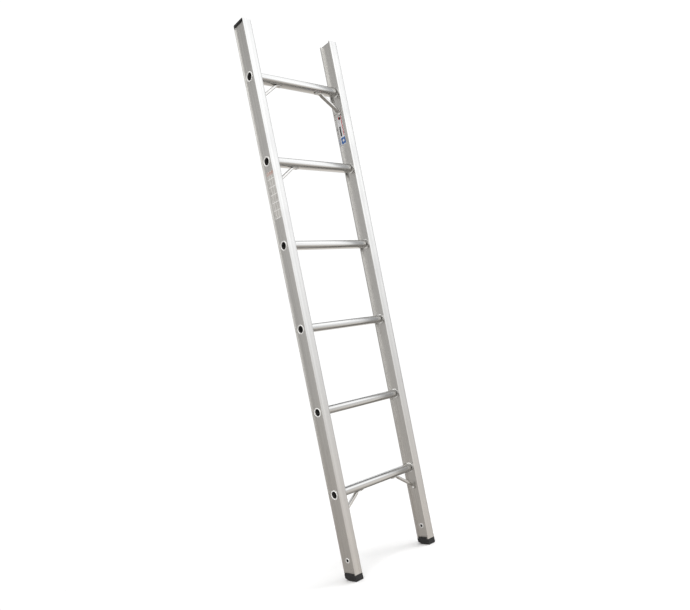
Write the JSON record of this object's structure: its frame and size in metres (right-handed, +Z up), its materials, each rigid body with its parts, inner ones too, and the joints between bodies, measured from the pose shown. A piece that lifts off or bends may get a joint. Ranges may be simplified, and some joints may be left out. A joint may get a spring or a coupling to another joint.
{
  "type": "extension ladder",
  "caption": "Rigid aluminium ladder section with box stiles, flared hollow rungs, riveted knee braces and rubber feet, for climbing.",
  "frame": {"origin": "middle of the footprint on the ground, between the two feet, with the section standing upright", "axes": "+Z up along the stiles, +X along the rungs towards the right-hand stile as seen by the climber, -Y towards the climber"},
  "size_m": [0.455, 0.058, 2.0413],
  "materials": {
    "stile_aluminium": "mill, satin",
    "rung_aluminium": "mill, fluted",
    "brace_aluminium": "mill, bright",
    "rivet_metal": "satin",
    "foot_rubber": "matt moulded",
    "cap_plastic": "matt moulded",
    "sticker": null
  },
  "bodies": {
    "root": {"left_stile": "stile_aluminium", "right_stile": "stile_aluminium", "rung_1": "rung_aluminium", "rung_2": "rung_aluminium", "rung_3": "rung_aluminium", "rung_4": "rung_aluminium", "rung_5": "rung_aluminium", "rung_6": "rung_aluminium", "brace_top_left": "brace_aluminium", "brace_top_right": "brace_aluminium", "brace_second_left": "brace_aluminium", "brace_bottom_left": "brace_aluminium", "brace_bottom_right": "brace_aluminium", "rivet_top_left_rung": "rivet_metal", "rivet_top_left_stile": "rivet_metal", "rivet_top_right_rung": "rivet_metal", "rivet_top_right_stile": "rivet_metal", "rivet_second_left_rung": "rivet_metal", "rivet_second_left_stile": "rivet_metal", "rivet_bottom_left_rung": "rivet_metal", "rivet_bottom_left_stile": "rivet_metal", "rivet_bottom_right_rung": "rivet_metal", "rivet_bottom_right_stile": "rivet_metal", "left_foot": "foot_rubber", "right_foot": "foot_rubber", "left_foot_eyelet": "rivet_metal", "right_foot_eyelet": "rivet_metal", "left_top_cap": "cap_plastic", "right_top_cap": "cap_plastic", "rating_sticker": "sticker", "instruction_sticker": "sticker"}
  },
  "joints": []
}
